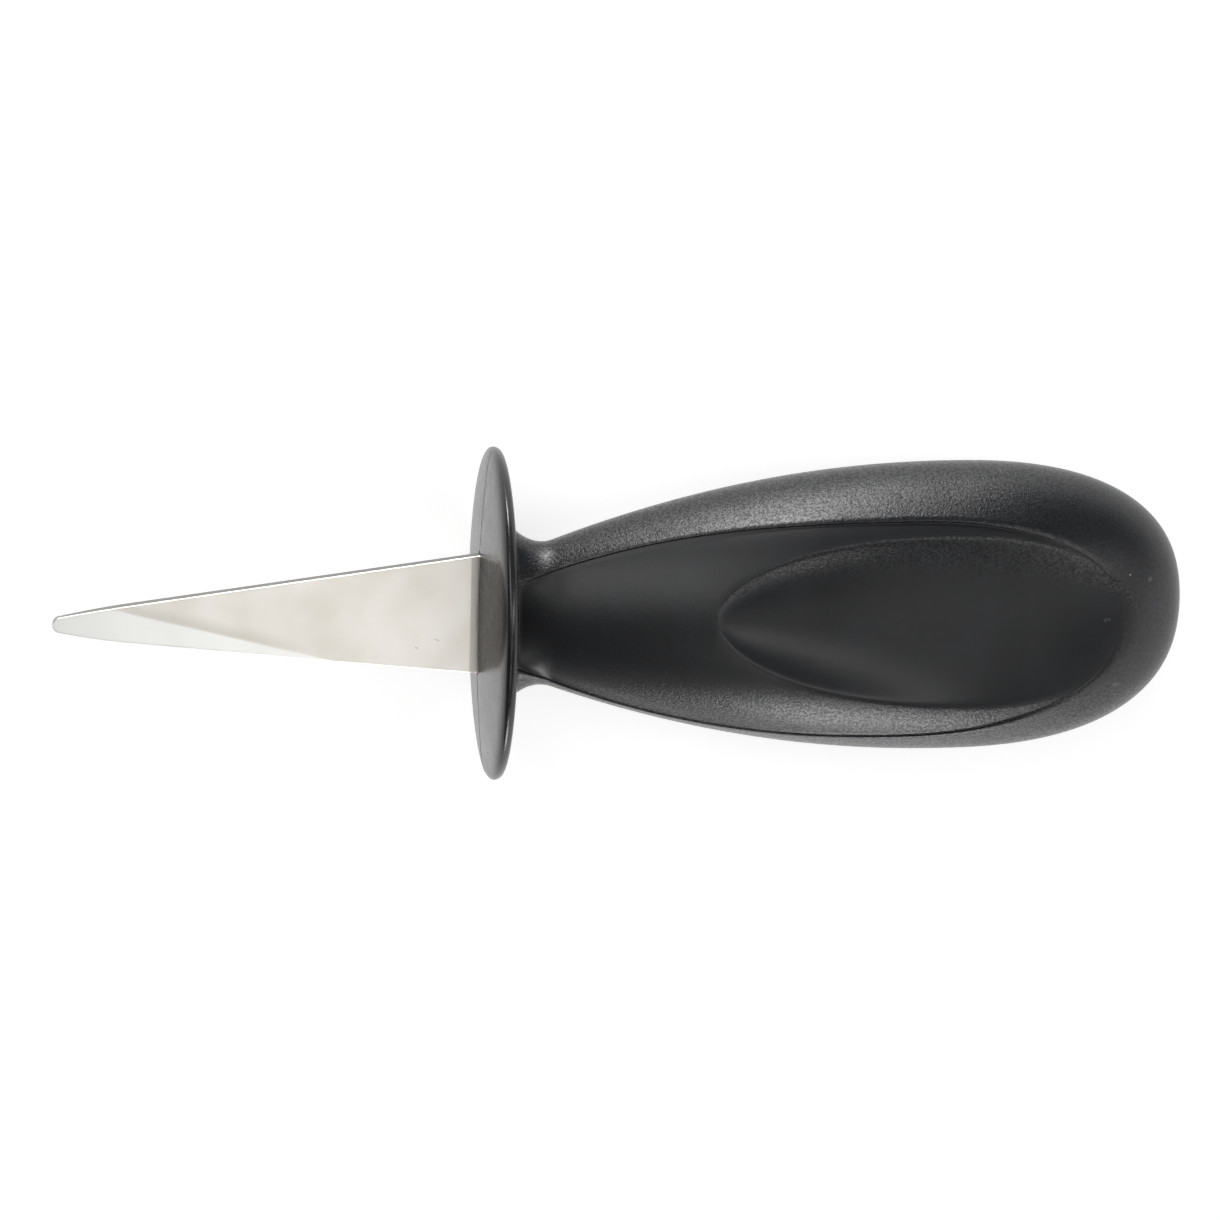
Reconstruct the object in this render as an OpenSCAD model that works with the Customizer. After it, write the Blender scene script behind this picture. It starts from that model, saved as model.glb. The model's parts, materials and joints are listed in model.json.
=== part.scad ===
// Oyster knife: a short stiff blade, a round guard and an egg-shaped grip moulded round the tang.
// It lies on a table as it is put down, on the rim of the guard and the belly of the grip.

/* [Blade] */
// Length of the blade in front of the guard
blade_len = 59.2; // [50:0.2:75]
// Width of the blade where it enters the guard
blade_w = 16.9; // [15:0.1:19]
// Thickness of the ground blade
blade_t = 2.2; // [1.8:0.1:3]
// Slope of the spine towards the tip
spine_angle = 8.25; // [7:0.05:8.5]
// Slope of the cutting edge towards the tip
edge_angle = 5.15; // [4.5:0.05:6]
// Radius of the rounded tip
tip_r = 1.2; // [0.8:0.1:1.5]
// How far the middle of the tip lies below the middle line of the knife
tip_drop = 1.45; // [1.2:0.05:1.8]
// Length of the curved end of the spine and of the edge
nose_len = 11; // [8:0.5:16]
// Length of the ground bevel along the cutting edge, from the tip
bevel_len = 40; // [24:1:46]
// Length of the ground bevel along the spine, from the tip
bevel_top = 8; // [4:0.5:12]
// Angle of each ground bevel to the flat of the blade
bevel_angle = 9; // [4:0.5:10]

/* [Tang] */
// Length of the tang behind the front of the guard
tang_len = 58; // [30:1:70]
// Width of the tang
tang_w = 8; // [5:0.2:9]
// How far the full width of the blade goes into the guard
shoulder_depth = 2; // [1:0.1:2.4]
// Steel left on each side of the tang and ground away from the blade
grind_allowance = 0.05; // [0.02:0.01:0.15]
// Length of full thickness left in front of the guard
grind_stop = 0.4; // [0.2:0.1:1]
// Diameter of the holes that the plastic flows through
lock_hole_d = 4; // [2:0.2:4.4]
// Distance from the front of the guard to the first hole
lock_hole_at = 20; // [12:1:26]
// Distance between the two holes
lock_hole_gap = 22; // [8:1:28]

/* [Guard] */
// Diameter of the round guard
guard_d = 46.8; // [43:0.2:52]
// Thickness of the guard at its middle
guard_t = 3.2; // [2.8:0.1:4]
// Radius of the shallow dome on the front of the guard
guard_dome_r = 215; // [180:5:400]
// Width of the rolled edge of the guard, seen from the front
guard_roll = 4.5; // [2:0.1:6]
// Width of the rounded edge on the back of the guard
guard_back_round = 1; // [0.4:0.1:2]
// Distance from the back of the guard to its widest line
guard_nose_back = 1; // [0.4:0.05:1.2]

/* [Grip] */
// Length of the grip behind the guard
grip_len = 97.6; // [88:0.1:106]
// Width of the grip at its widest
grip_w = 41.6; // [36:0.1:46]
// Thickness of the uncut grip at its thickest
grip_t = 28.4; // [26:0.2:32]
// Width of the grip at the neck
neck_w = 20.1; // [17:0.1:24]
// Thickness of the grip at the neck
neck_t = 12.8; // [12:0.2:16]
// Distance from the guard to the neck
neck_at = 6.1; // [4:0.1:9]
// Distance from the guard to the widest place
widest_at = 63.7; // [54:0.1:68]
// Distance from the guard to the thickest place
thickest_at = 44; // [40:0.5:60]
// Height of the flare where the sides of the grip meet the guard
flare_rise = 6.3; // [2:0.1:7]
// Length of the flare
flare_len = 7.4; // [4:0.1:10]
// Height of the fillet where the faces of the grip meet the guard
face_fillet = 1.6; // [0.5:0.1:2]
// Length of that fillet
face_fillet_len = 2.6; // [1.5:0.1:4]
// How far the butt leans towards the spine side
butt_lean = 1.6; // [0:0.1:4]
// Fullness of the cross-section, where 2 is an ellipse
section_power = 2; // [1.9:0.05:2.6]
// How much steeper the rim round the leaf field falls than the uncut grip
rim_tilt = 0.35; // [0:0.05:0.6]
// Fullness of the rounded butt, where 2 is an ellipse
butt_power = 2.45; // [2.2:0.05:3]

/* [Leaf field] */
// Width of the leaf-shaped field on each face
leaf_w = 31.6; // [26:0.2:33]
// Distance from the guard to the widest place of the leaf
leaf_mid = 56.3; // [48:0.1:62]
// Distance from the guard to the end of the leaf
leaf_end = 87.2; // [82:0.1:91]
// How much narrower the leaf is at the guard, as a share of its width
leaf_taper = 0.67; // [0.6:0.01:0.8]
// How far the leaf lies to the edge side of the middle line at the guard
leaf_drop = 1; // [0:0.05:1.2]
// How far the end of the leaf lies to the spine side of the middle line
leaf_lean = 0.8; // [0:0.05:3]
// Depth of the leaf below the rim round it
leaf_step = 0.45; // [0.2:0.05:0.8]
// Width of the small wall round the leaf
leaf_wall = 0.3; // [0.2:0.05:0.6]

/* [Thumb dish] */
// Width of the oval dish within the leaf
dish_w = 24.2; // [18:0.1:26]
// Distance from the guard to the tip of the dish
dish_from = 29.1; // [24:0.1:40]
// Distance from the guard to the widest place of the dish
dish_mid = 66.7; // [56:0.1:68]
// Distance from the guard to the end of the dish
dish_to = 89.8; // [84:0.1:93]
// Depth of the dish at its deepest
dish_depth = 4.3; // [1:0.1:5]
// Fullness of the dish's section, where 2 is a parabola
dish_bowl = 2.4; // [2:0.1:4]
// Width over which the edge of the dish is rounded
dish_round = 0.5; // [0.1:0.05:1]
// How far the tip of the dish lies to the spine side of the middle line
dish_offset = 1.65; // [0:0.05:2]

/* [Core] */
// Thickness of the skin over the core
skin_t = 2.5; // [2:0.1:3]
// Width of the core as a share of the width of the grip
core_share = 0.5; // [0.46:0.01:0.54]
// Distance from the end of the core to the butt
core_end_gap = 19; // [15:0.5:26]

/* [Hidden] */
$fn = 96;

// Half sizes and places that follow from the values above
guard_r = guard_d / 2;
root_half = blade_w / 2;
tang_t = blade_t + 2 * grind_allowance;
core_len = grip_len - core_end_gap;

// How finely the curved outlines and the grip are drawn
nose_steps = 8;
tip_steps = 10;
dome_steps = 6;
roll_steps = 8;
flare_rings = 8;
flank_rings = 8;
dish_rings = 17;
butt_rings = 22;
rim_steps = 6;
strip_steps = 3;
dish_steps = 12;
core_steps = 18;

// Where the leaf's outline narrows to a point, the rows of the mesh keep this share of the width
least_leaf = 0.3;
least_dish = 0.2;
// How fast the sides and the faces swell from the neck
side_power = 2;
face_power = 1.6;
// Lengths over which the rim gets steeper behind the guard, and eases again before the leaf ends
rim_onset = 20;
rim_fade = 25;
// Length over which the leaf's step fades towards the butt
leaf_fade = 14;
// How steeply the dish sets in and runs out, which puts its deepest place where the two balance
dish_onset = 0.8;
dish_runout = 1.65;
dish_deepest = dish_onset / (dish_onset + dish_runout);
// How fast the leaf narrows towards the guard, closes at its end and leans with the grip
leaf_flank_power = 2.5;
leaf_end_power = 2.16;
leaf_lean_power = 3.84;
// How fast the dish narrows towards its tip
dish_tip_power = 2.2;
dish_tip_root = 1.86;
// How much closer the rings of the mesh lie at the tip of the dish than at its middle
tip_spacing = 1.3;
// Any cutting block reaches this far past what it cuts
reach = 30;

function curve2(a, b, c, steps) = [
    for (i = [0:steps])
        let (t = i / steps)
        (1 - t) * (1 - t) * a + 2 * t * (1 - t) * b + t * t * c
];

function curve3(a, b, c, d, steps) = [
    for (i = [0:steps])
        let (t = i / steps)
        pow(1 - t, 3) * a + 3 * t * pow(1 - t, 2) * b + 3 * t * t * (1 - t) * c + pow(t, 3) * d
];

// Blade outline, seen from above with the tip at the left
function spine_y(x) = root_half + x * tan(spine_angle);
function edge_y(x) = -root_half - x * tan(edge_angle);

nose_x = nose_len - blade_len;
tip_mid = [tip_r - blade_len, -tip_drop];
tip_top = tip_mid + tip_r * [0, 1];
tip_low = tip_mid - tip_r * [0, 1];
nose_bend = (nose_x + tip_mid[0]) / 2;

function tip_arc() = [
    for (i = [1:tip_steps - 1])
        let (a = 270 - 180 * i / tip_steps)
        tip_mid + tip_r * [cos(a), sin(a)]
];

function blade_outline() = concat(
    [[shoulder_depth, -root_half]],
    [[0, -root_half]],
    curve2([nose_x, edge_y(nose_x)], [nose_bend, edge_y(nose_bend)], tip_low, nose_steps),
    tip_arc(),
    curve2(tip_top, [nose_bend, spine_y(nose_bend)], [nose_x, spine_y(nose_x)], nose_steps),
    [[0, root_half]],
    [[shoulder_depth, root_half]]
);

module slab(thickness) {
    translate([0, 0, -thickness / 2]) linear_extrude(thickness) children();
}

// The bevel meets the flat along a straight line from the spine to the edge
module bevel_cut() {
    from = [bevel_top - blade_len, spine_y(bevel_top - blade_len)];
    to = [bevel_len - blade_len, edge_y(bevel_len - blade_len)];
    run = to - from;
    translate([from[0], from[1], blade_t / 2])
        rotate([0, 0, atan2(run[1], run[0])])
            rotate([bevel_angle, 0, 0])
                translate([-reach, -reach, 0])
                    cube([norm(run) + 2 * reach, reach, reach]);
}

module ground_blade() {
    difference() {
        slab(blade_t) polygon([for (p = blade_outline()) if (p[0] <= 0) p]);
        bevel_cut();
        mirror([0, 0, 1]) bevel_cut();
    }
}

// The part of the steel that the plastic is moulded round, with its lock holes
module tang() {
    root_back = -grind_stop;
    slab(tang_t) difference() {
        union() {
            polygon([
                [root_back, edge_y(root_back)],
                [0, -root_half],
                [shoulder_depth, -root_half],
                [shoulder_depth, root_half],
                [0, root_half],
                [root_back, spine_y(root_back)]
            ]);
            translate([0, -tang_w / 2]) square([tang_len - tang_w / 2, tang_w]);
            translate([tang_len - tang_w / 2, 0]) circle(d = tang_w);
        }
        for (i = [0:1]) translate([lock_hole_at + i * lock_hole_gap, 0]) circle(d = lock_hole_d);
    }
}

// Half of the guard's section: radius first, then place along the knife
function dome_x(r) = r * r / (2 * guard_dome_r);
roll_r = guard_r - guard_roll;
nose_line = guard_t - guard_nose_back;

function guard_section() = concat(
    [for (i = [0:dome_steps - 1]) let (r = roll_r * i / dome_steps) [r, dome_x(r)]],
    curve3(
        [roll_r, dome_x(roll_r)],
        [guard_r - guard_roll / 2, dome_x(guard_r - guard_roll / 2)],
        [guard_r, nose_line - guard_nose_back],
        [guard_r, nose_line],
        roll_steps
    ),
    [for (i = [1:roll_steps])
        let (a = 90 * i / roll_steps)
        [guard_r - guard_back_round * (1 - cos(a)), nose_line + guard_nose_back * sin(a)]],
    [[0, guard_t]]
);

module guard_disc() {
    rotate([0, 90, 0]) rotate_extrude() polygon(guard_section());
}

// Grip: every function below takes g, the distance behind the back of the guard
function dome(t) = pow(max(0, 1 - pow(min(1, t), butt_power)), 1 / butt_power);
function profile(g, mid, neck, at, power) =
    g < at
        ? mid - (mid - neck) * pow((at - g) / (at - neck_at), power)
        : mid * dome((g - at) / (grip_len - at));
function side_half(g) = profile(g, grip_w / 2, neck_w / 2, widest_at, side_power);
function face_half(g) = profile(g, grip_t / 2, neck_t / 2, thickest_at, face_power);
function flare(g) = g < flare_len ? flare_rise * pow(1 - g / flare_len, 2) : 0;
function fillet(g) = g < face_fillet_len ? face_fillet * pow(1 - g / face_fillet_len, 2) : 0;
function lean(g) = butt_lean * max(0, (g - neck_at) / (grip_len - neck_at));

// Height of the uncut grip; the flare is full at the sides and sinks to the fillet on the faces
function skin_z(g, y) =
    let (across = min(1, abs(y - lean(g)) / (side_half(g) + flare(g))))
    let (half = face_half(g) + fillet(g) + (flare(g) - fillet(g)) * across * across)
    half * pow(1 - pow(across, section_power), 1 / section_power);

function leaf_shape(g) =
    g < leaf_mid
        ? 1 - leaf_taper * pow((leaf_mid - g) / leaf_mid, leaf_flank_power)
        : g < leaf_end
            ? pow(1 - pow((g - leaf_mid) / (leaf_end - leaf_mid), leaf_end_power), 1 / leaf_end_power)
            : 0;
function leaf_c(g) = (leaf_lean + leaf_drop) * pow(min(g, leaf_end) / leaf_end, leaf_lean_power) - leaf_drop;
function leaf_y(g, side) = side * max(
    side * leaf_c(g) + leaf_w / 2 * leaf_shape(g),
    side * lean(g) + least_leaf * side_half(g)
);
function leaf_depth(g) = leaf_step * min(1, max(0, (leaf_end - g) / leaf_fade));

function dish_shape(g) =
    g < dish_from || g > dish_to
        ? 0
        : g < dish_mid
            ? pow(1 - pow((dish_mid - g) / (dish_mid - dish_from), dish_tip_power), 1 / dish_tip_root)
            : sqrt(1 - pow((g - dish_mid) / (dish_to - dish_mid), 2));
function dish_c(g) =
    g < dish_to
        ? dish_offset * (dish_to - g) / (dish_to - dish_from)
        : butt_lean * (g - dish_to) / (grip_len - dish_to);
function dish_y(g, side) = side * min(
    max(side * dish_c(g) + dish_w / 2 * dish_shape(g), side * lean(g) + least_dish * side_half(g)),
    side * leaf_y(g, side)
);
function dish_floor(g) =
    let (s = (g - dish_from) / (dish_to - dish_from))
    s <= 0 || s >= 1
        ? 0
        : dish_depth * pow(s / dish_deepest, dish_onset) * pow((1 - s) / (1 - dish_deepest), dish_runout);

// The dish is a bowl that meets the leaf over a small rounded edge
function dish_cut(g, y) =
    let (half = dish_w / 2 * dish_shape(g))
    let (bowl = half > 0 ? 1 - pow(abs(y - dish_c(g)) / half, dish_bowl) : 0)
    let (rounding = half > 0 ? dish_round * dish_bowl / half : 0)
    dish_floor(g) * (bowl + sqrt(bowl * bowl + rounding * rounding)) / 2;

function field_z(g, y) = skin_z(g, y) - leaf_depth(g) - dish_cut(g, y);

// Height of the rim, which falls from the line of the leaf to the side; side is 1 or -1
function rim_z(g, y, side) =
    let (line = abs(leaf_y(g, side) - lean(g)))
    let (edge = side_half(g) + flare(g))
    let (v = (abs(y - lean(g)) - line) / (edge - line))
    let (steeper = rim_tilt * min(1, g / rim_onset) * min(1, max(0, leaf_end - g) / rim_fade))
    let (fall = steeper - (edge - line) / (edge + line))
    skin_z(g, leaf_y(g, side)) * sqrt(max(0, (1 - v) * (1 - fall * v)));

function rim_points(g, side) =
    let (w = side_half(g) + flare(g))
    let (last = acos(min(1, abs(leaf_y(g, side) - lean(g)) / w)))
    [
        for (i = [0:rim_steps])
            let (y = lean(g) + side * w * cos(last * i / rim_steps))
            [y, rim_z(g, y, side)]
    ];

function field_points(g) =
    let (wall = min(leaf_wall, side_half(g) / 20))
    let (from = leaf_y(g, 1) - wall)
    let (to = leaf_y(g, -1) + wall)
    let (near = min(dish_y(g, 1), from - wall))
    let (far = max(dish_y(g, -1), to + wall))
    let (ys = concat(
        [for (i = [0:strip_steps - 1]) from + (near - from) * i / strip_steps],
        [for (i = [0:dish_steps - 1]) near + (far - near) * i / dish_steps],
        [for (i = [0:strip_steps]) far + (to - far) * i / strip_steps]
    ))
    [for (y = ys) [y, field_z(g, y)]];

function backwards(list) = [for (i = [len(list) - 1:-1:0]) list[i]];

function upper_half(g) = concat(rim_points(g, 1), field_points(g), backwards(rim_points(g, -1)));

function ring(g) =
    let (top = upper_half(g))
    let (under = [for (i = [len(top) - 2:-1:1]) [top[i][0], -top[i][1]]])
    [for (p = concat(top, under)) [guard_t + g, p[0], p[1]]];

stations = concat(
    [for (i = [0:flare_rings - 1]) flare_len * i / flare_rings],
    [for (i = [0:flank_rings - 1]) flare_len + (dish_from - flare_len) * i / flank_rings],
    [for (i = [0:dish_rings - 1])
        dish_from + (widest_at - dish_from) * pow(i / dish_rings, tip_spacing)],
    [for (i = [0:butt_rings - 1])
        widest_at + (grip_len - widest_at) * pow(sin(90 * i / butt_rings), 2 / butt_power)]
);
rings = [for (g = stations) ring(g)];
ring_size = len(rings[0]);
butt_point = [guard_t + grip_len, butt_lean, 0];
skin_points = concat([for (r = rings) each r], [butt_point]);

// The core keeps one skin thickness below the faces, and has the neck's section up to the neck
core_stations = [for (i = [0:core_steps]) neck_at + (core_len - neck_at) * i / core_steps];
function core_half(g) = core_share * side_half(max(g, neck_at));
function core_face_half(g) =
    let (at = max(g, neck_at))
    field_z(at, dish_c(at)) - skin_t;

function both_sides(front, pairs) = concat(
    [[front, -pairs[0][1]], [front, pairs[0][1]]],
    pairs,
    backwards([for (p = pairs) [p[0], -p[1]]])
);

module core_block(front) {
    wide = [for (g = core_stations) [guard_t + g, core_half(g)]];
    deep = [for (g = core_stations) [guard_t + g, core_face_half(g)]];
    intersection() {
        slab(grip_t) polygon(both_sides(front, wide));
        rotate([90, 0, 0]) slab(grip_w) polygon(both_sides(front, deep));
    }
}

// The pocket in the skin has the same four corners as the core at each station
corners = [[1, 1], [-1, 1], [-1, -1], [1, -1]];
pocket_stations = concat([0], core_stations);
pocket_points = [
    for (g = pocket_stations, c = corners)
        [guard_t + g, c[0] * core_half(g), c[1] * core_face_half(g)]
];

// Two triangles for each quad between one ring and the next; both are turned over where inside is 1
function tube_faces(base, count, size, inside) = [
    for (i = [0:count - 2], j = [0:size - 1])
        let (k = (j + 1) % size)
        let (a = base + i * size)
        let (b = a + size)
        each inside == 1
            ? [[a + j, b + k, b + j], [a + j, a + k, b + k]]
            : [[a + j, b + j, b + k], [a + j, b + k, a + k]]
];

function skin_faces() =
    let (last = (len(rings) - 1) * ring_size)
    let (tip = len(rings) * ring_size)
    let (pocket = tip + 1)
    let (pocket_end = pocket + (len(pocket_stations) - 1) * 4)
    let (quarter = ring_size / 4)
    concat(
        tube_faces(0, len(rings), ring_size, 0),
        [for (j = [0:ring_size - 1]) [last + j, tip, last + (j + 1) % ring_size]],
        [for (j = [0:ring_size - 1]) [j, (j + 1) % ring_size, pocket + floor(j / quarter)]],
        [for (k = [0:3]) [(k + 1) % 4 * quarter, pocket + (k + 1) % 4, pocket + k]],
        tube_faces(pocket, len(pocket_stations), 4, 1),
        [[for (k = [0:3]) pocket_end + k]]
    );

module grip_skin() {
    polyhedron(points = concat(skin_points, pocket_points), faces = skin_faces(), convexity = 6);
}

// How it lies: the butt end sinks until the grip touches the table that the guard stands on
function slope_under(p) = atan2(guard_r + p[2], p[0] - nose_line);
pitch = min([for (p = skin_points) if (p[2] < -neck_t / 2) slope_under(p)]);
rest_height = max([for (s = guard_section()) s[0] * cos(pitch) + s[1] * sin(pitch)]);
butt_reach = max([for (p = skin_points) p[0] * cos(pitch) + p[2] * sin(pitch)]);
tip_reach = -blade_len * cos(pitch);

module lying() {
    translate([-(tip_reach + butt_reach) / 2, 0, rest_height]) rotate([0, pitch, 0]) children();
}

module blade() {
    color("gainsboro") lying() union() {
        ground_blade();
        tang();
    }
}

module guard_core() {
    color("#1b1c1e") lying() difference() {
        union() {
            guard_disc();
            core_block(guard_t - guard_nose_back);
        }
        tang();
    }
}

module grip() {
    color("#2b2d30") lying() grip_skin();
}

blade();
guard_core();
grip();
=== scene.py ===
import json
import math

import bmesh
import bpy
import numpy as np
from mathutils import Matrix, Vector


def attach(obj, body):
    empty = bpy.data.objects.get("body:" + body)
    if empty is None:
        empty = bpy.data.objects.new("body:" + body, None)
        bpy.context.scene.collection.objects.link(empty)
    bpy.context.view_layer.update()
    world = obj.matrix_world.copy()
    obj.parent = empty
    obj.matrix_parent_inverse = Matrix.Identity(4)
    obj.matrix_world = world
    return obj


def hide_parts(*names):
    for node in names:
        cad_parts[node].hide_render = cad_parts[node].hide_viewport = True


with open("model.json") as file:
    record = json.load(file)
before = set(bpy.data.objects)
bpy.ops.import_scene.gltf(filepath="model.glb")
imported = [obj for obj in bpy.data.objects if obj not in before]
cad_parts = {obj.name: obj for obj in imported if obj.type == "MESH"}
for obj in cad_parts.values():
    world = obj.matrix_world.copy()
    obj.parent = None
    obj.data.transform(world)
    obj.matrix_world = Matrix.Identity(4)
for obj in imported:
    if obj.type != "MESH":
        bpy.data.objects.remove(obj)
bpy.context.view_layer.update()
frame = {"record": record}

mm = 0.001
tiny = 1e-6  # keeps a divisor above zero
scene = bpy.context.scene
scene.view_settings.view_transform = "Standard"

# the knife's own frame in mm: x from the guard's front to the butt, y to the spine, z off the flat
pose = {"markX": -22.0, "markZ": 1.1}  # where the mount lies on the flat of the blade
mount = frame["record"]["mounts"][0]
mountAxis = Vector(mount["axis"])
pitch = math.atan2(mountAxis.x, mountAxis.z)
knifeTurn = Matrix.Rotation(pitch, 4, "Y")
mark = Vector((pose["markX"], 0, pose["markZ"])) * mm
knifePlace = Matrix.Translation(Vector(mount["pos_m"]) - knifeTurn @ mark) @ knifeTurn
print("frame: the knife is pitched by %.2f degrees" % math.degrees(pitch))


# sockets as Python values
class Wire:
    def __init__(self, shader, socket):
        self.shader = shader
        self.socket = socket

    def math(self, operation, first, second=None):
        return self.shader.node("ShaderNodeMath", {"operation": operation}, {0: first, 1: second})

    def __add__(self, other):
        return self.math("ADD", self, other)

    def __radd__(self, other):
        return self.math("ADD", other, self)

    def __sub__(self, other):
        return self.math("SUBTRACT", self, other)

    def __rsub__(self, other):
        return self.math("SUBTRACT", other, self)

    def __mul__(self, other):
        return self.math("MULTIPLY", self, other)

    def __rmul__(self, other):
        return self.math("MULTIPLY", other, self)

    def __truediv__(self, other):
        return self.math("DIVIDE", self, other)

    def __rtruediv__(self, other):
        return self.math("DIVIDE", other, self)

    def __pow__(self, other):
        return self.math("POWER", self, other)

    def __abs__(self):
        return self.math("ABSOLUTE", self)

    def atLeast(self, other):
        return self.math("MAXIMUM", self, other)

    def atMost(self, other):
        return self.math("MINIMUM", self, other)

    def ease(self, low, high):  # 0 up to low, 1 from high on, and a smooth step between them
        return self.shader.node(
            "ShaderNodeMapRange",
            {"interpolation_type": "SMOOTHSTEP"},
            {"Value": self, "From Min": low, "From Max": high},
        )


# the next three work on numbers and arrays, which make a mesh, and on wires, which make its masks
def least(value, other):
    return value.atMost(other) if isinstance(value, Wire) else np.minimum(value, other)


def most(value, other):
    return value.atLeast(other) if isinstance(value, Wire) else np.maximum(value, other)


def within(value):
    return least(most(value, 0), 1)


class Shader:
    def __init__(self, name, constants):
        self.material = bpy.data.materials.new(name)
        self.material.use_nodes = True
        self.tree = self.material.node_tree
        self.surface = self.tree.nodes["Principled BSDF"]
        for socket, value in constants.items():
            self.surface.inputs[socket].default_value = value

    def node(self, kind, settings=None, inputs=None, output=0):  # settings come before inputs
        made = self.tree.nodes.new(kind)
        for key, value in (settings or {}).items():
            setattr(made, key, value)
        for key, value in (inputs or {}).items():
            if isinstance(value, Wire):
                self.tree.links.new(value.socket, made.inputs[key])
            elif value is not None:
                made.inputs[key].default_value = value
        return Wire(self, made.outputs[output])

    def feed(self, socket, wire):
        self.tree.links.new(wire.socket, self.surface.inputs[socket])

    def mixColour(self, share, first, second):
        return self.node(
            "ShaderNodeMix", {"data_type": "RGBA"}, {0: share, 6: first, 7: second}, 2
        )

    def knifePoint(self):  # the point in the knife's own frame, in mm
        back = knifePlace.inverted()
        point = self.node("ShaderNodeTexCoord", output="Object")
        return self.node("ShaderNodeMapping", None, {
            "Vector": point,
            "Location": back.to_translation() / mm,
            "Rotation": back.to_euler(),
            "Scale": (1 / mm, 1 / mm, 1 / mm),
        })

    def split(self, vector):
        return [self.node("ShaderNodeSeparateXYZ", None, {0: vector}, i) for i in range(3)]

    def stretch(self, vector, scale):
        return self.node("ShaderNodeMapping", None, {"Vector": vector, "Scale": scale})

    def noise(self, vector, scale, detail=2.0, rough=0.5):
        return self.node(
            "ShaderNodeTexNoise", None,
            {"Vector": vector, "Scale": scale, "Detail": detail, "Roughness": rough},
        )

    def bump(self, height, depth):
        return self.node("ShaderNodeBump", None, {"Height": height, "Distance": depth * mm})

    def level(self):  # 1 where the surface lies flat in the knife's frame, 0 where it stands upright
        normal = self.node("ShaderNodeNewGeometry", output="True Normal")
        up = knifeTurn.to_3x3() @ Vector((0, 0, 1))
        dot = {"operation": "DOT_PRODUCT"}
        return abs(self.node("ShaderNodeVectorMath", dot, {0: normal, 1: up}, "Value"))


spotEdge = (0.2, 1.0)  # where a spot starts to fade and where it ends, by the square of the way out


# oval spots, each given by its place along and across and by half its length and width
def spotMask(along, across, spots, slope=0.0):
    mask = 0
    for x, y, long, wide in spots:
        away = ((along - x) / long) ** 2 + ((across - y + slope * (along - x)) / wide) ** 2
        mask = mask + (1 - away.ease(*spotEdge))
    return mask


weld = 1e-4  # points nearer than this, in mm, become one


def makePiece(name, points, faces, material, node, sharpAngle):
    mesh = bpy.data.meshes.new(name)
    mesh.from_pydata([tuple(p) for p in np.asarray(points) * mm], [], faces)
    tidy = bmesh.new()
    tidy.from_mesh(mesh)
    bmesh.ops.remove_doubles(tidy, verts=tidy.verts, dist=weld * mm)
    bmesh.ops.dissolve_degenerate(tidy, edges=tidy.edges, dist=weld * mm)
    bmesh.ops.recalc_face_normals(tidy, faces=tidy.faces)
    tidy.to_mesh(mesh)
    tidy.free()
    mesh.transform(knifePlace)
    mesh.materials.append(material)
    mesh.shade_smooth()
    mesh.set_sharp_from_angle(angle=math.radians(sharpAngle))
    piece = bpy.data.objects.new(name, mesh)
    scene.collection.objects.link(piece)
    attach(piece, "root")
    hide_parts(node)
    print("%s: %d faces" % (name, len(mesh.polygons)))


# quads between one ring of points and the next, a cap on the first ring and, if asked, on the last
def tubeFaces(count, size, capLast=True):
    faces = []
    for i in range(count - 1):
        for j in range(size):
            k = (j + 1) % size
            a = i * size
            b = a + size
            faces.append((a + j, a + k, b + k, b + j))
    faces.append(tuple(range(size))[::-1])
    if capLast:
        last = (count - 1) * size
        faces.append(tuple(range(last, last + size)))
    return faces


# blade: a grid from spine to edge on each face, with the bevel and a rounded rim
blade = {
    "length": 59.2,
    "width": 16.9,
    "thick": 2.2,
    "spineAngle": 8.25,
    "edgeAngle": 5.15,
    "tipRadius": 1.2,
    "tipDrop": 1.45,
    "noseLength": 11.0,
    "bevelEdge": 40.0,
    "bevelSpine": 8.0,
    "bevelAngle": 9.0,
    "cornerRound": 0.2,
    "edgeThick": 0.16,
    "shoulder": 2.0,
    "tangLength": 58.0,
    "tangWidth": 8.0,
    "capPoints": 30,
    "nosePoints": 60,
    "tipStations": 30,
    "tipReach": 3.0,
    "bodyStations": 220,
    "tangStations": 20,
    "rows": 60,
    "cornerRows": 8,
    "cornerShare": 0.02,
    "cornerCrowd": 1.5,
    "sharpAngle": 50,
}


def bladeEdges(x):
    half = blade["width"] / 2
    spine = half + x * math.tan(math.radians(blade["spineAngle"]))
    edge = -half - x * math.tan(math.radians(blade["edgeAngle"]))
    return spine, edge


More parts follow.
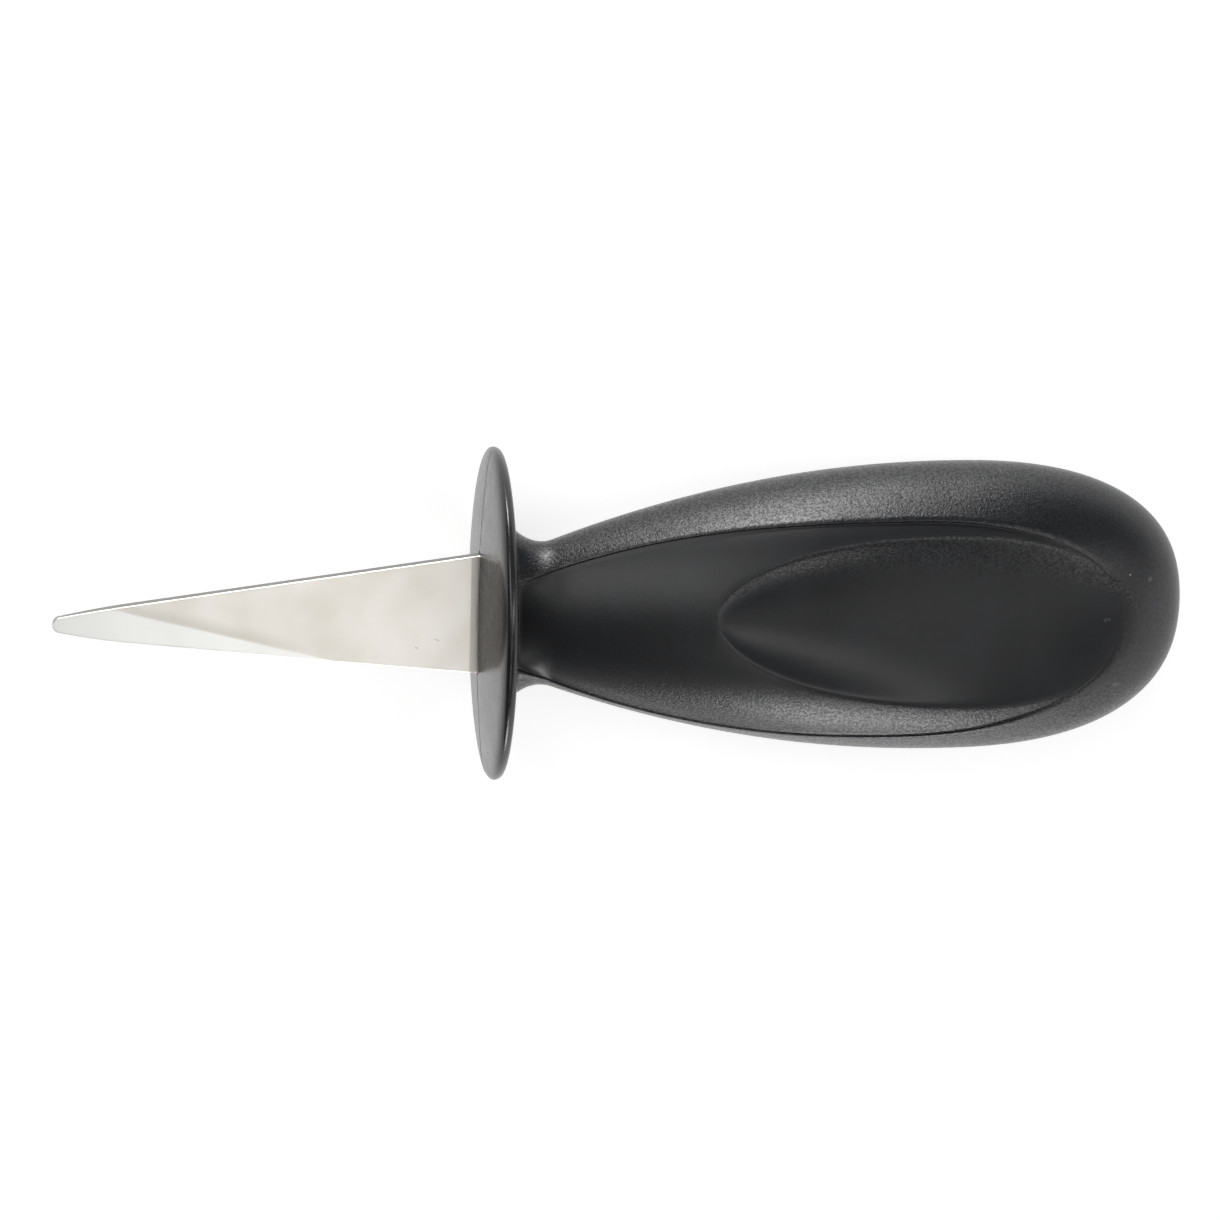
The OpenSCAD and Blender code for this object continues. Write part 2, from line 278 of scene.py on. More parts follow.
def bladeOutline():  # upper and lower outline at the same stations from the tip to the shoulder
    noseX = blade["noseLength"] - blade["length"]
    tipX = blade["tipRadius"] - blade["length"]
    bend = (noseX + tipX) / 2
    t = np.linspace(0, 1, blade["nosePoints"])
    angle = np.linspace(0, math.pi / 2, blade["capPoints"])[:-1]
    sides = []
    for side, sign in enumerate((1, -1)):
        start = np.array([tipX, -blade["tipDrop"] + sign * blade["tipRadius"]])
        middle = np.array([bend, bladeEdges(bend)[side]])
        end = np.array([noseX, bladeEdges(noseX)[side]])
        nose = np.outer((1 - t) ** 2, start) + np.outer(2 * t * (1 - t), middle) + np.outer(t ** 2, end)
        cap = np.stack([
            tipX - blade["tipRadius"] * np.cos(angle),
            -blade["tipDrop"] + sign * blade["tipRadius"] * np.sin(angle),
        ], 1)
        rootY = bladeEdges(0)[side]
        sides.append(np.concatenate([cap, nose, [[0.0, rootY], [blade["shoulder"], rootY]]]))
    tip = -blade["length"] + blade["tipReach"] * np.linspace(0, 1, blade["tipStations"]) ** 2
    body = np.linspace(tip[-1], 0, blade["bodyStations"])[1:]
    x = np.concatenate([tip, body, [blade["shoulder"]]])
    upper, lower = [np.interp(x, s[:, 0], s[:, 1]) for s in sides]
    return x, upper, lower


def bevelDepth(x, y):  # how far a point lies on the edge side of the bevel's line
    startX = blade["bevelSpine"] - blade["length"]
    stopX = blade["bevelEdge"] - blade["length"]
    startY = bladeEdges(startX)[0]
    stopY = bladeEdges(stopX)[1]
    span = math.hypot(stopX - startX, stopY - startY)
    return (x - startX) * ((stopY - startY) / span) - (y - startY) * ((stopX - startX) / span)


def bladeHeight(x, y, spine, edge):
    ground = np.maximum(0, bevelDepth(x, y)) * math.tan(math.radians(blade["bevelAngle"]))
    ground = np.where(x > 0, 0, ground)
    corner = blade["cornerRound"]
    inset = within(np.minimum(spine - y, y - edge) / corner)
    roll = corner * (1 - np.sqrt(1 - (1 - inset) ** 2))
    return np.maximum(blade["thick"] / 2 - ground - roll, blade["edgeThick"] / 2)


# satin-ground stainless: faint clouds, fine grinding marks across the blade, a painted highlight on the
# bevel, a belt of painted shade above the bevel's line, a painted reflection of the guard darkening a
# strip at the root, two tiny scratches, and upright sides that are darker and rougher
steel = {
    "colour": (0.96, 0.925, 0.865, 1),
    "cloudColour": (0.90, 0.855, 0.77, 1),
    # painted highlight: the bevel is given a lighter colour than the flat
    "bevelHighlightColour": (1.0, 0.995, 0.96, 1),
    # painted shade: a darker belt just above the bevel's line
    "shadeBeltColour": (0.79, 0.76, 0.685, 1),
    # painted reflection of the dark guard in a strip at the blade's root
    "guardReflectionColour": (0.66, 0.625, 0.58, 1),
    "scratchColour": (0.60, 0.58, 0.53, 1),
    # darker colour where the faces stand upright
    "uprightSidesColour": (0.27, 0.265, 0.25, 1),
    "rough": 0.34,
    "cloudRough": 0.03,
    "markRough": 0.04,
    "uprightSidesRough": 0.12,
    "cloudSize": 9.0,
    "cloudStops": (0.35, 0.75),
    "markWidth": 0.10,
    "markLength": 5.0,
    "markDepth": 0.0005,
    "uprightSidesStops": (0.15, 0.55),
    "bevelStops": (-0.15, 0.3),
    "beltDepth": (-2.2, -0.2),
    "beltStart": (-56.0, -48.0),
    "beltStop": (-34.0, -20.0),
    "rootStops": (-1.13, -0.97),
    "scratches": [(-5.7, -3.6, 0.45, 0.10), (-8.6, -4.7, 0.25, 0.12)],
    "scratchSlope": 0.4,
}


def steelMaterial():
    s = Shader("satinSteel", {"Metallic": 1.0})
    point = s.knifePoint()
    along, across = s.split(point)[:2]
    cloud = s.noise(point, 1 / steel["cloudSize"], detail=3.0, rough=0.55).ease(*steel["cloudStops"])
    marks = s.noise(s.stretch(point, (1 / steel["markWidth"], 1 / steel["markLength"], 1.0)), 1.0)
    # the upright sides are made darker and rougher
    uprightSides = 1 - s.level().ease(*steel["uprightSidesStops"])
    depth = bevelDepth(along, across)
    # painted shade in a belt just above the bevel's line, along the middle of the blade
    shadeBelt = depth.ease(*steel["beltDepth"]) * along.ease(*steel["beltStart"])
    shadeBelt = shadeBelt * (1 - along.ease(*steel["beltStop"]))
    scratch = spotMask(along, across, steel["scratches"], steel["scratchSlope"]).atMost(1.0)
    face = s.mixColour(cloud, steel["colour"], steel["cloudColour"])
    face = s.mixColour(shadeBelt, face, steel["shadeBeltColour"])
    # painted highlight: the bevel is made lighter
    face = s.mixColour(depth.ease(*steel["bevelStops"]), face, steel["bevelHighlightColour"])
    # painted reflection: the strip next to the guard is darkened
    face = s.mixColour(along.ease(*steel["rootStops"]), face, steel["guardReflectionColour"])
    face = s.mixColour(scratch, face, steel["scratchColour"])
    s.feed("Base Color", s.mixColour(uprightSides, face, steel["uprightSidesColour"]))
    rough = steel["rough"] + steel["cloudRough"] * cloud + steel["markRough"] * marks
    s.feed("Roughness", rough + steel["uprightSidesRough"] * uprightSides)
    s.feed("Normal", s.bump(marks, steel["markDepth"]))
    return s.material


def makeBlade():
    x, upper, lower = bladeOutline()
    corner = np.linspace(0, 1, blade["cornerRows"] + 1)[:-1] ** blade["cornerCrowd"]
    corner = blade["cornerShare"] * corner
    middle = np.linspace(blade["cornerShare"], 1 - blade["cornerShare"], blade["rows"])
    share = np.concatenate([corner, middle, 1 - corner[::-1]])
    tangX = np.linspace(blade["shoulder"], blade["tangLength"], blade["tangStations"])
    tangHalf = np.full(len(tangX), blade["tangWidth"] / 2)
    x = np.concatenate([x, tangX])[:, None]
    upper = np.concatenate([upper, tangHalf])[:, None]
    lower = np.concatenate([lower, -tangHalf])[:, None]
    x = np.repeat(x, len(share), 1)
    y = upper + (lower - upper) * share
    top = np.stack([x, y, bladeHeight(x, y, upper, lower)], 2)
    bottom = top[:, ::-1] * [1, 1, -1]
    rings = np.concatenate([top, bottom], 1)
    makePiece(
        "steelBlade", rings.reshape(-1, 3), tubeFaces(*rings.shape[:2]),
        steelMaterial(), "blade", blade["sharpAngle"],
    )


# guard: a domed disc moulded round the blade, and the core that grows from its back
guard = {
    "width": 46.8,
    "thick": 3.2,
    "domeRadius": 215.0,
    "roll": 4.5,
    "backRound": 1.0,
    "noseBack": 1.0,
    "slotGap": 0.04,
    "slotRound": 0.10,
    "pitDepth": 0.5,
    "pitRadius": 0.32,
    "pitOut": 0.12,
    "partingHeight": 0.05,
    "partingWidth": 0.12,
    "partingStart": 1.0,
    "partingFade": 0.4,
    "turns": 240,
    "partingTurns": [0.12, 0.25, 0.4, 0.6, 0.9],
    "frontRings": 46,
    "frontCrowd": 2.2,
    "rollPoints": 30,
    "backPoints": 14,
    "sharpAngle": 50,
}
core = {"share": 0.5, "skin": 2.5, "endGap": 19.0, "squareness": 5.0, "stations": 40}


def domeX(r):
    return r * r / (2 * guard["domeRadius"])


def rollSection():  # radius and place along the knife, from the dome over the rim to the back
    radius = guard["width"] / 2
    rollFrom = radius - guard["roll"]
    noseLine = guard["thick"] - guard["noseBack"]
    corners = np.array([
        (rollFrom, domeX(rollFrom)),
        (radius - guard["roll"] / 2, domeX(radius - guard["roll"] / 2)),
        (radius, noseLine - guard["noseBack"]),
        (radius, noseLine),
    ])
    t = np.linspace(0, 1, guard["rollPoints"])[1:, None]
    roll = (
        (1 - t) ** 3 * corners[0] + 3 * t * (1 - t) ** 2 * corners[1]
        + 3 * t * t * (1 - t) * corners[2] + t ** 3 * corners[3]
    )
    angle = np.linspace(0, math.pi / 2, guard["backPoints"])[1:]
    back = np.stack([
        radius - guard["backRound"] * (1 - np.cos(angle)),
        noseLine + guard["noseBack"] * np.sin(angle),
    ], 1)
    return np.concatenate([roll, back])


def boxRadius(angle, halfY, halfZ):  # from the middle of a rectangle to its side
    return np.minimum(
        halfY / np.maximum(np.abs(np.cos(angle)), tiny),
        halfZ / np.maximum(np.abs(np.sin(angle)), tiny),
    )


def coreRadius(angle, halfY, halfZ):  # from the middle of a rounded rectangle to its side
    power = core["squareness"]
    flat = (np.abs(np.cos(angle)) / halfY) ** power
    deep = (np.abs(np.sin(angle)) / halfZ) ** power
    return (flat + deep) ** (-1 / power)


def coreHalves(g, gap=0.0):
    at = np.maximum(g, grip["neckAt"])
    halfY = core["share"] * sideHalf(at) + gap
    halfZ = fieldHeight(at, dishMiddle(at), 1) - core["skin"] + gap
    return halfY, halfZ


def coreStations():
    last = grip["length"] - core["endGap"]
    return np.concatenate([[0], np.linspace(grip["neckAt"], last, core["stations"])])


def guardAngles(slotY, slotZ):  # even turns, the slot's four corners and more near the parting line
    corner = math.atan2(slotZ, slotY)
    near = np.radians(guard["partingTurns"])
    extra = [corner, math.pi - corner, math.pi + corner, 2 * math.pi - corner]
    for middle in (0, math.pi):
        extra += list(middle + near) + list(middle - near)
    even = np.linspace(0, 2 * math.pi, guard["turns"], endpoint=False)
    return np.unique(np.round(np.concatenate([even, extra]) % (2 * math.pi), 6))


def partingRidge(z):
    return guard["partingHeight"] * np.exp(-(z / guard["partingWidth"]) ** 2)


def guardFront(r, angle, slot):  # place along the knife of the front face
    y = r * np.cos(angle)
    z = r * np.sin(angle)
    ridge = partingRidge(z) * within((r - slot) / guard["partingStart"])
    pitAt = blade["width"] / 2 + guard["pitOut"]
    pit = guard["pitDepth"] * np.exp(-((np.abs(y) - pitAt) ** 2 + z ** 2) / guard["pitRadius"] ** 2)
    edge = guard["slotRound"] * np.exp(-(r - slot) / guard["slotRound"])
    return domeX(r) - ridge + pit + edge


# polished black plastic with a mottled haze and a slight orange peel
gloss = {
    "colour": (0.009, 0.009, 0.010, 1),
    "hazeColour": (0.026, 0.026, 0.027, 1),
    "index": 1.5,
    "rough": 0.20,
    "hazeRough": 0.14,
    "hazeSize": 2.2,
    "peelSize": 0.8,
    "peelDepth": 0.010,
}


def glossMaterial():
    s = Shader("polishedBlack", {"IOR": gloss["index"]})
    point = s.knifePoint()
    haze = s.noise(point, 1 / gloss["hazeSize"], detail=4.0, rough=0.6)
    s.feed("Base Color", s.mixColour(haze, gloss["colour"], gloss["hazeColour"]))
    s.feed("Roughness", gloss["rough"] + gloss["hazeRough"] * haze)
    s.feed("Normal", s.bump(s.noise(point, 1 / gloss["peelSize"]), gloss["peelDepth"]))
    return s.material


def makeGuard():  # rings from the end of the tang, out of the slot, over the disc and along the core
    radius = guard["width"] / 2
    slotY = blade["width"] / 2 + guard["slotGap"]
    slotZ = blade["thick"] / 2 + guard["slotGap"]
    angle = guardAngles(slotY, slotZ)
    slot = boxRadius(angle, slotY, slotZ)
    tangSlot = boxRadius(angle, blade["tangWidth"] / 2 + guard["slotGap"], slotZ)
    rings = [
        (blade["tangLength"] + guard["slotGap"], tangSlot),
        (blade["shoulder"] + guard["slotGap"], tangSlot),
        (blade["shoulder"] + guard["slotGap"], slot),
    ]
    for t in np.linspace(0, 1, guard["frontRings"]) ** guard["frontCrowd"]:
        r = slot + (radius - guard["roll"] - slot) * t
        rings.append((guardFront(r, angle, slot), r))
    for r, x in rollSection():
        fade = min(1.0, (radius - r) / guard["partingFade"])
        rings.append((x - partingRidge(r * np.sin(angle)) * fade, r))
    for g in coreStations():
        rings.append((guard["thick"] + g, coreRadius(angle, *coreHalves(g))))
    points = np.array([
        np.stack([x + 0 * angle, r * np.cos(angle), r * np.sin(angle)], 1) for x, r in rings
    ])
    makePiece(
        "guardCore", points.reshape(-1, 3), tubeFaces(*points.shape[:2]),
        glossMaterial(), "guard_core", guard["sharpAngle"],
    )


# grip: rings of points, with rows that follow the lines of the leaf and of the dish; g is the
# distance behind the back of the guard
grip = {
    "start": 3.2,
    "length": 97.6,
    "width": 41.6,
    "thick": 28.4,
    "neckWidth": 20.1,
    "neckThick": 12.8,
    "neckAt": 6.1,
    "widestAt": 63.7,
    "thickestAt": 44.0,
    "sidePower": 2.0,
    "facePower": 1.6,
    "flareRise": 6.3,
    "flareLength": 7.4,
    "filletRise": 1.6,
    "filletLength": 2.6,
    "lean": 1.6,
    "sectionPower": 2.0,
    "rimTilt": 0.35,
    "rimOnset": 20.0,
    "rimFade": 25.0,
    "buttPower": 2.45,
    "flareStations": 30,
    "neckStations": 50,
    "tipStations": 26,
    "tipReach": 6.0,
    "middleStations": 70,
    "buttStations": 120,
    "rimRows": 18,
    "wallRows": 6,
    "stripRows": 17,
    "stripCrowd": 1.4,
    "bowlRows": 44,
    "sharpAngle": 60,
}
leaf = {
    "width": 31.6,
    "mid": 56.3,
    "end": 87.2,
    "taper": 0.67,
    "drop": 1.0,
    "lean": 0.8,
    "step": 0.45,
    "wall": 0.3,
    "wallPart": 20.0,
    "fade": 14.0,
    "flankPower": 2.5,
    "endPower": 2.16,
    "leanPower": 3.84,
    "leastShare": 0.3,
}
dish = {
    "width": 24.2,
    "tip": 29.1,
    "mid": 66.7,
    "end": 89.8,
    "depth": 4.3,
    "bowlPower": 2.4,
    "tipOffset": 1.65,
    "tipPower": 2.2,
    "tipRoot": 1.86,
    "onset": 0.8,
    "runout": 1.65,
    "edgeRound": 0.5,
    "leastHalf": 0.001,
}


def profile(g, middle, neck, at, power):  # from the neck to the largest half size and round the butt
    share = np.abs(at - g) / (at - grip["neckAt"])
    t = within((g - at) / (grip["length"] - at))
    dome = middle * (1 - t ** grip["buttPower"]) ** (1 / grip["buttPower"])
    return np.where(g < at, middle - (middle - neck) * share ** power, dome)


def sideHalf(g):  # half of the width, without the flare
    return profile(g, grip["width"] / 2, grip["neckWidth"] / 2, grip["widestAt"], grip["sidePower"])


def faceHalf(g):  # half of the thickness at the middle, without the fillet
    return profile(g, grip["thick"] / 2, grip["neckThick"] / 2, grip["thickestAt"], grip["facePower"])


def flare(g):  # how far the sides spread towards the guard
    return grip["flareRise"] * within(1 - g / grip["flareLength"]) ** 2


def fillet(g):  # how far the faces do
    return grip["filletRise"] * within(1 - g / grip["filletLength"]) ** 2


def lean(g):  # how far the middle shifts to the spine side
    return grip["lean"] * within((g - grip["neckAt"]) / (grip["length"] - grip["neckAt"]))


# height of the uncut grip; the flare is full at the sides and sinks to the fillet on the faces
def skinHeight(g, y):
    across = within(np.abs(y - lean(g)) / np.maximum(sideHalf(g) + flare(g), tiny))
    half = faceHalf(g) + fillet(g) + (flare(g) - fillet(g)) * across ** 2
    return half * (1 - across ** grip["sectionPower"]) ** (1 / grip["sectionPower"])


def leafMiddle(g):
    rise = within(g / leaf["end"]) ** leaf["leanPower"]
    return (leaf["lean"] + leaf["drop"]) * rise - leaf["drop"]


def leafHalf(g):
    rear = most(leaf["mid"] - g, 0) / leaf["mid"]
    front = within((g - leaf["mid"]) / (leaf["end"] - leaf["mid"]))
    narrowing = 1 - leaf["taper"] * rear ** leaf["flankPower"]
    closing = (1 - front ** leaf["endPower"]) ** (1 / leaf["endPower"])
    return leaf["width"] / 2 * least(narrowing, closing)


def leafLine(g, side):  # where the leaf's field ends on one side
    return side * np.maximum(
        side * leafMiddle(g) + leafHalf(g),
        side * lean(g) + leaf["leastShare"] * sideHalf(g),
    )


def rimHeight(g, y, side):  # from the leaf's line to the side, a little steeper than the uncut grip
    line = np.abs(leafLine(g, side) - lean(g))
    reach = np.maximum(sideHalf(g) + flare(g), line + tiny)
    v = within((np.abs(y - lean(g)) - line) / (reach - line))
    steeper = grip["rimTilt"] * within(g / grip["rimOnset"]) * within((leaf["end"] - g) / grip["rimFade"])
    fall = steeper - (reach - line) / (reach + line)
    return skinHeight(g, leafLine(g, side)) * np.sqrt((1 - v) * (1 - fall * v))


def leafDepth(g):
    return leaf["step"] * within((leaf["end"] - g) / leaf["fade"])


def dishHalf(g):
    rear = within((dish["mid"] - g) / (dish["mid"] - dish["tip"]))
    front = within((g - dish["mid"]) / (dish["end"] - dish["mid"]))
    pointed = (1 - rear ** dish["tipPower"]) ** (1 / dish["tipRoot"])
    return dish["width"] / 2 * least(pointed, (1 - front ** 2) ** 0.5)


def dishMiddle(g):
    inside = dish["tipOffset"] * most(dish["end"] - g, 0) / (dish["end"] - dish["tip"])
    beyond = grip["lean"] * most(g - dish["end"], 0) / (grip["length"] - dish["end"])
    return inside + beyond


def dishLine(g, side):
    return side * np.minimum(side * dishMiddle(g) + dishHalf(g), side * leafLine(g, side))


def dishFloor(g):  # depth of the floor, which is deepest where the onset and the runout balance
    s = within((g - dish["tip"]) / (dish["end"] - dish["tip"]))
    deepest = dish["onset"] / (dish["onset"] + dish["runout"])
    rise = (s / deepest) ** dish["onset"]
    return dish["depth"] * rise * ((1 - s) / (1 - deepest)) ** dish["runout"]


def dishCut(g, y):  # a bowl that meets the leaf field over a small rounded edge
    half = np.maximum(dishHalf(g), dish["leastHalf"])
    bowl = 1 - (np.abs(y - dishMiddle(g)) / half) ** dish["bowlPower"]
    rounding = dish["edgeRound"] * dish["bowlPower"] / half
    return dishFloor(g) * (bowl + np.sqrt(bowl ** 2 + rounding ** 2)) / 2


def fieldHeight(g, y, sunk):  # sunk runs from 0 on the leaf's line to 1 on its field
    return skinHeight(g, y) - sunk * leafDepth(g) - dishCut(g, y)


def gripStations():  # closer together where the dish starts and towards the butt
    tip = dish["tip"] + grip["tipReach"] * np.linspace(0, 1, grip["tipStations"]) ** 2
    butt = np.sin(np.linspace(0, math.pi / 2, grip["buttStations"])) ** (2 / grip["buttPower"])
    return np.concatenate([
        np.linspace(0, grip["flareLength"], grip["flareStations"])[:-1],
        np.linspace(grip["flareLength"], dish["tip"], grip["neckStations"])[:-1],
        tip[:-1],
        np.linspace(tip[-1], grip["widestAt"], grip["middleStations"])[:-1],
        grip["widestAt"] + (grip["length"] - grip["widestAt"]) * butt,
    ])


def upperHalf(g):  # g is a column; every part below is one stretch of rows
    reach = sideHalf(g) + flare(g)
    wall = np.minimum(leaf["wall"], sideHalf(g) / leaf["wallPart"])
    rimShare = np.linspace(0, 1, grip["rimRows"])[None, :-1]
    wallShare = np.linspace(0, 1, grip["wallRows"])[None, :]
    sunk = wallShare ** 2 * (3 - 2 * wallShare)
    stripShare = 1 - (1 - np.linspace(0, 1, grip["stripRows"])[None, 1:]) ** grip["stripCrowd"]
    sides = []
    for side in (1, -1):
        across = within(np.abs(leafLine(g, side) - lean(g)) / np.maximum(reach, tiny))
        y = lean(g) + side * reach * np.cos(np.arccos(across) * rimShare)
        rim = (y, rimHeight(g, y, side))
        y = leafLine(g, side) - side * wall * wallShare
        step = (y, fieldHeight(g, y, sunk))
        start = leafLine(g, side) - side * wall
        stop = side * np.minimum(side * dishLine(g, side), side * start)
        y = start + (stop - start) * stripShare
        sides.append([rim, step, (y, fieldHeight(g, y, 1))])
    near, far = [parts[-1][0][:, -1:] for parts in sides]
    bowlShare = (1 - np.cos(np.linspace(0, math.pi, grip["bowlRows"])[None, 1:-1])) / 2
    y = near + (far - near) * bowlShare
    parts = sides[0] + [(y, fieldHeight(g, y, 1))]
    parts += [(y[:, ::-1], z[:, ::-1]) for y, z in sides[1][::-1]]
    return [np.concatenate(rows, 1) for rows in zip(*parts)]


# spark-textured black plastic: a fine speckle, worn patches, and dust and scuffs near the butt
spark = {
    "colour": (0.0058, 0.0066, 0.0082, 1),
    "wornColour": (0.0100, 0.0112, 0.0138, 1),
    "scuffColour": (0.055, 0.057, 0.060, 1),
    "dustColour": (0.30, 0.30, 0.29, 1),
    "index": 1.4,
    "rough": 0.34,
    "smoothRough": 0.09,
    "dustRough": 0.2,
    "coatIndex": 1.5,
    "coatRough": 0.38,
    "sheen": 0.36,
    "sparkle": 0.62,
    "glintFiner": 1.05,
    "glintStops": (0.36, 0.66),
    "grain": 0.38,
    "depth": 0.11,
    "fineFiner": 2.3,
    "fineShare": 0.35,
    "smoothShare": 0.25,
    "leafStops": (-0.3, 0.2),
    "buttStops": (70.0, 90.0),
    "buttCalm": 0.7,
    "wallStops": (0.45, 0.85),
    "crestStops": (1.0, 1.06),
    "tipStops": (0.3, 1.5),
    "upperStops": (-1.0, 3.0),
    "leastHalf": 0.1,
    "stripStops": (7.0, 11.0),
    "stripCrest": (1.0, 1.05),
    "wearScale": 0.12,
    "wearStops": (0.45, 0.75),
    "dustSpacing": 5.5,
    "dustRadius": 0.045,
    "dustStops": (55.0, 85.0),
    "crumbScale": 3.0,
    "crumbStops": (0.42, 0.55),
    "scuffs": [
        (89.0, 19.6, 1.6, 0.5),
        (94.5, 6.4, 1.2, 0.6),
        (90.0, -8.8, 1.5, 0.9),
        (88.0, 1.0, 0.7, 0.5),
    ],
    "scuffScale": 1.6,
    "scuffStops": (0.48, 0.62),
    "scuffHeight": (2.0, 5.0),
}


# 1 where the grain is coarse: outside the leaf, less so at the butt, on the dish's upper wall, and
# below the dish along the lower side
def sparkMask(along, across):
    g = along - grip["start"]
    outside = (abs(across - leafMiddle(g)) - leafHalf(g)).ease(*spark["leafStops"])
    outside = outside * (1 - spark["buttCalm"] * g.ease(*spark["buttStops"]))
    off = across - dishMiddle(g)
    share = abs(off) / dishHalf(g).atLeast(spark["leastHalf"])
    wall = share.ease(*spark["wallStops"]) * (1 - share.ease(*spark["crestStops"]))
    wall = wall * (g - dish["tip"]).ease(*spark["tipStops"]) * off.ease(*spark["upperStops"])
    strip = (-1 * across).ease(*spark["stripStops"]) * share.ease(*spark["stripCrest"])
    return outside.atLeast(wall).atLeast(strip)


def sparkMaterial():
    s = Shader("sparkBlack", {
        "IOR": spark["index"],
        "Coat Roughness": spark["coatRough"],
        "Coat IOR": spark["coatIndex"],
    })
    point = s.knifePoint()
    along, across, height = s.split(point)
    coarse = sparkMask(along, across)
    wear = s.noise(point, spark["wearScale"], detail=4.0, rough=0.65).ease(*spark["wearStops"])
    speck = s.node("ShaderNodeTexVoronoi", None, {"Vector": point, "Scale": 1 / spark["dustSpacing"]})
    crumb = s.noise(point, spark["crumbScale"], rough=0.6).ease(*spark["crumbStops"])
    dust = 1 - speck.ease(0.5 * spark["dustRadius"], spark["dustRadius"])
    dust = dust * along.ease(*spark["dustStops"]) * crumb
    broken = s.noise(point, spark["scuffScale"], detail=3.0, rough=0.7).ease(*spark["scuffStops"])
    scuff = spotMask(along, across, spark["scuffs"]) * broken * height.ease(*spark["scuffHeight"])
    body = s.mixColour(wear, spark["colour"], spark["wornColour"])
    body = s.mixColour(scuff.atMost(1.0), body, spark["scuffColour"])
    s.feed("Base Color", s.mixColour(dust, body, spark["dustColour"]))
    rough = spark["rough"] + spark["smoothRough"] * (1 - coarse)
    s.feed("Roughness", rough + spark["dustRough"] * dust)
    glint = s.noise(point, spark["glintFiner"] / spark["grain"], detail=1.0).ease(*spark["glintStops"])
    s.feed("Coat Weight", spark["sheen"] + spark["sparkle"] * coarse * (glint - spark["sheen"]))
    pits = (1 - spark["fineShare"]) * s.noise(point, 1 / spark["grain"], detail=1.5, rough=0.6)
    pits = pits + spark["fineShare"] * s.noise(point, spark["fineFiner"] / spark["grain"], detail=1.0)
    relief = pits * (spark["smoothShare"] + (1 - spark["smoothShare"]) * coarse)
    s.feed("Normal", s.bump(relief, spark["depth"]))
    return s.material


def makeGrip():  # rings from the end of the pocket to the guard, then over the outside to the butt
    g = gripStations()[:, None]
    y, z = upperHalf(g)
    y = np.concatenate([y, y[:, -2:0:-1]], 1)
    z = np.concatenate([z, -z[:, -2:0:-1]], 1)
    x = np.repeat(g + grip["start"], y.shape[1], 1)
    outside = np.stack([x, y, z], 2)
    angle = np.arctan2(z[0], y[0])
    pocket = []
    for at in coreStations()[::-1]:
        r = coreRadius(angle, *coreHalves(at, guard["slotGap"]))
        pocket.append(np.stack([grip["start"] + at + 0 * r, r * np.cos(angle), r * np.sin(angle)], 1))
    rings = np.concatenate([np.array(pocket), outside])
    makePiece(
        "gripSkin", rings.reshape(-1, 3), tubeFaces(*rings.shape[:2], capLast=False),
        sparkMaterial(), "grip", grip["sharpAngle"],
    )


# camera at the photo's viewing angle, in the knife's frame
shot = {
    "backTilt": 12.4,
    "leftTilt": 7.892,
    "roll": 1.535,
    "distance": 650.0,
    "aimX": 18.81,
    "aimY": 0.39,
    "lens": 136.17,
    "sensor": 36.0,
}


def makeCamera():
    back = math.radians(shot["backTilt"])
    left = math.radians(shot["leftTilt"])
    roll = math.radians(shot["roll"])
    away = Vector((-math.sin(left), math.sin(back) * math.cos(left), math.cos(back) * math.cos(left)))
    right = Vector((away.z, 0, -away.x)).normalized()
    up = away.cross(right)
    turned = math.cos(roll) * right + math.sin(roll) * up
    aim = Vector((shot["aimX"], shot["aimY"], 0)) * mm
    spot = knifePlace @ (aim + away * shot["distance"] * mm)
    axes = Matrix((turned, away.cross(turned), away)).transposed().to_4x4()
    data = bpy.data.cameras.new("productCamera")
    data.lens = shot["lens"]
    data.sensor_width = shot["sensor"]
    data.sensor_fit = "HORIZONTAL"
    camera = bpy.data.objects.new("productCamera", data)
    camera.matrix_world = Matrix.Translation(spot) @ knifeTurn @ axes
    scene.collection.objects.link(camera)
    scene.camera = camera


# studio, in metres: a pale floor that glows a little, dim air and soft boxes round the table
studio = {
    "lightsAway": 1.2,
    "lightsAim": 0.02,
    "floorHalf": 4.0,
    "floorColour": (0.5, 0.5, 0.5, 1),
    "floorRough": 0.8,
    "floorGlow": 0.75,
    "airColour": (0.02, 0.02, 0.02, 1),
}
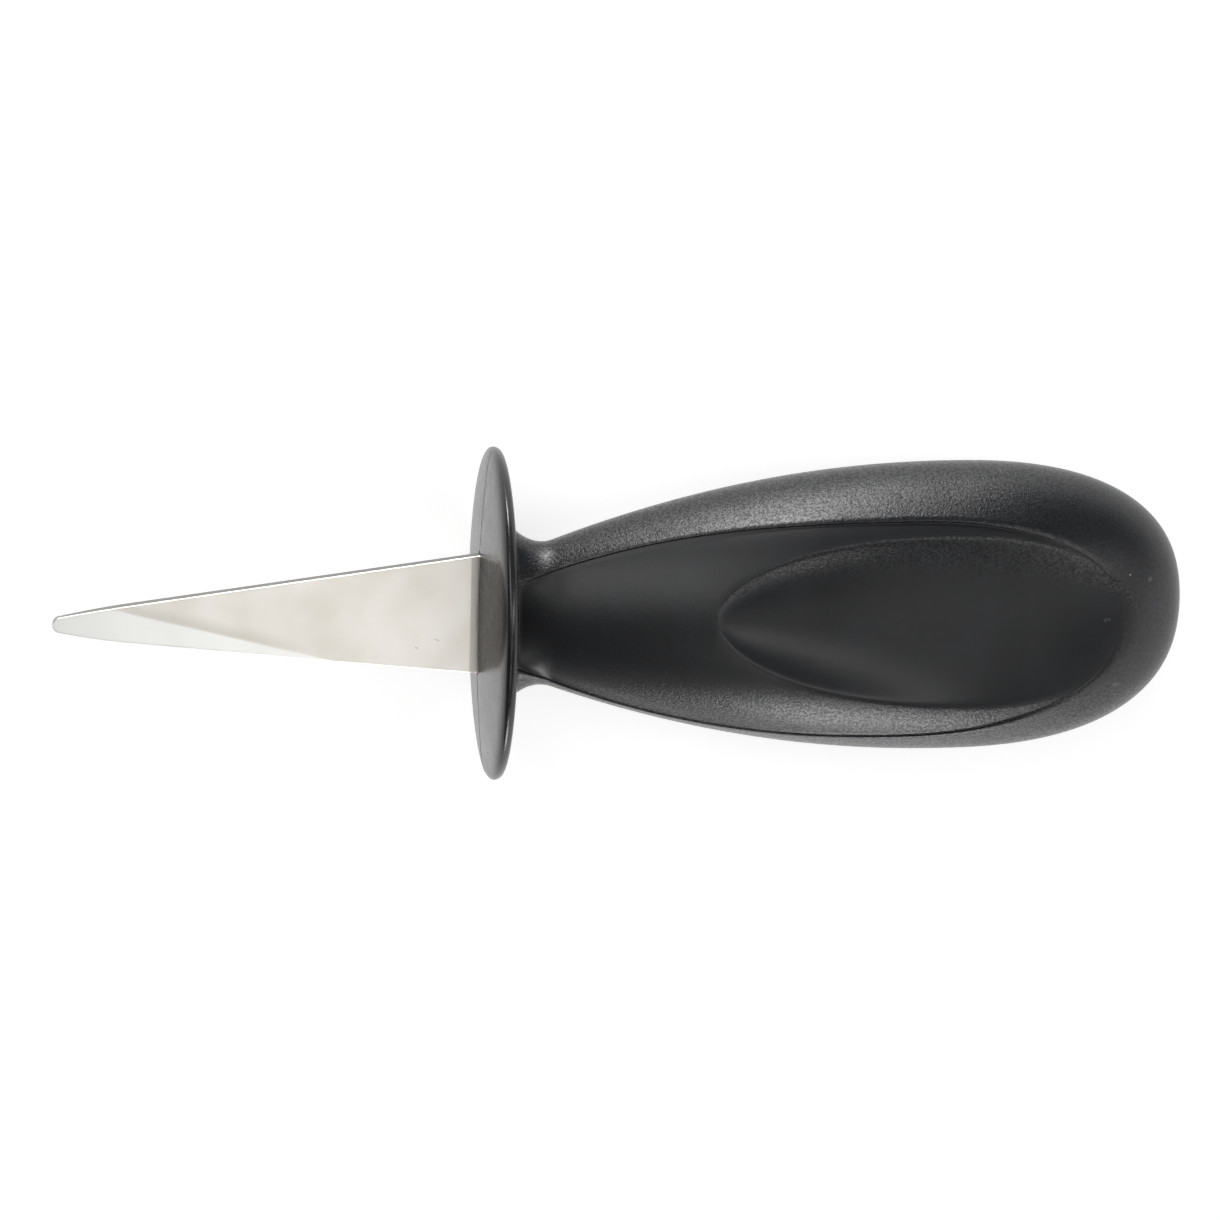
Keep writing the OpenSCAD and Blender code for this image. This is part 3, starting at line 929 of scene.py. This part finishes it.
# bearing from +x towards +y and height in degrees, spans in degrees, glow in light per area
lights = {
    "nearLow": {"bearing": 280, "height": 5, "spans": (15.7, 27.4), "glow": 12.0},
    "nearHigh": {"bearing": 284, "height": 58, "spans": (8.0, 12.0), "glow": 6.1},
    "farLow": {"bearing": 92, "height": 4, "spans": (9.0, 20.0), "glow": 46.0},
    "farHigh": {"bearing": 119, "height": 59, "spans": (23.9, 46.4), "glow": 3.0},
    "buttHigh": {"bearing": 16, "height": 50, "spans": (10.8, 39.0), "glow": 4.6},
    "buttLow": {"bearing": 332, "height": 11, "spans": (72.0, 31.0), "glow": 1.25},
    "overhead": {"bearing": 316, "height": 74, "spans": (8.0, 8.0), "glow": 5.8},
}


def makeLights():
    middle = Vector((0, 0, studio["lightsAim"]))
    away = studio["lightsAway"]
    for name, box in lights.items():
        bearing = math.radians(box["bearing"])
        height = math.radians(box["height"])
        way = Vector((
            math.cos(height) * math.cos(bearing),
            math.cos(height) * math.sin(bearing),
            math.sin(height),
        ))
        data = bpy.data.lights.new(name, "AREA")
        data.shape = "RECTANGLE"
        data.size, data.size_y = [2 * away * math.tan(math.radians(a) / 2) for a in box["spans"]]
        data.energy = box["glow"] * math.pi * data.size * data.size_y
        lamp = bpy.data.objects.new(name, data)
        lamp.location = middle + way * away
        lamp.rotation_euler = way.to_track_quat("Z", "Y").to_euler()
        scene.collection.objects.link(lamp)


def makeStage():
    world = bpy.data.worlds.new("studioAir")
    scene.world = world
    world.use_nodes = True
    world.node_tree.nodes["Background"].inputs["Color"].default_value = studio["airColour"]
    half = studio["floorHalf"]
    mesh = bpy.data.meshes.new("studioFloor")
    corners = [(-half, -half, 0), (half, -half, 0), (half, half, 0), (-half, half, 0)]
    mesh.from_pydata(corners, [], [(0, 1, 2, 3)])
    floor = bpy.data.objects.new("studioFloor", mesh)
    scene.collection.objects.link(floor)
    s = Shader("whiteFloor", {
        "Base Color": studio["floorColour"],
        "Roughness": studio["floorRough"],
        "Specular IOR Level": 0.0,
        "Emission Color": (1, 1, 1, 1),
        "Emission Strength": studio["floorGlow"],
    })
    mesh.materials.append(s.material)


makeCamera()
makeLights()
makeStage()
print("stage: camera, lights and floor are set")
makeBlade()
makeGuard()
makeGrip()
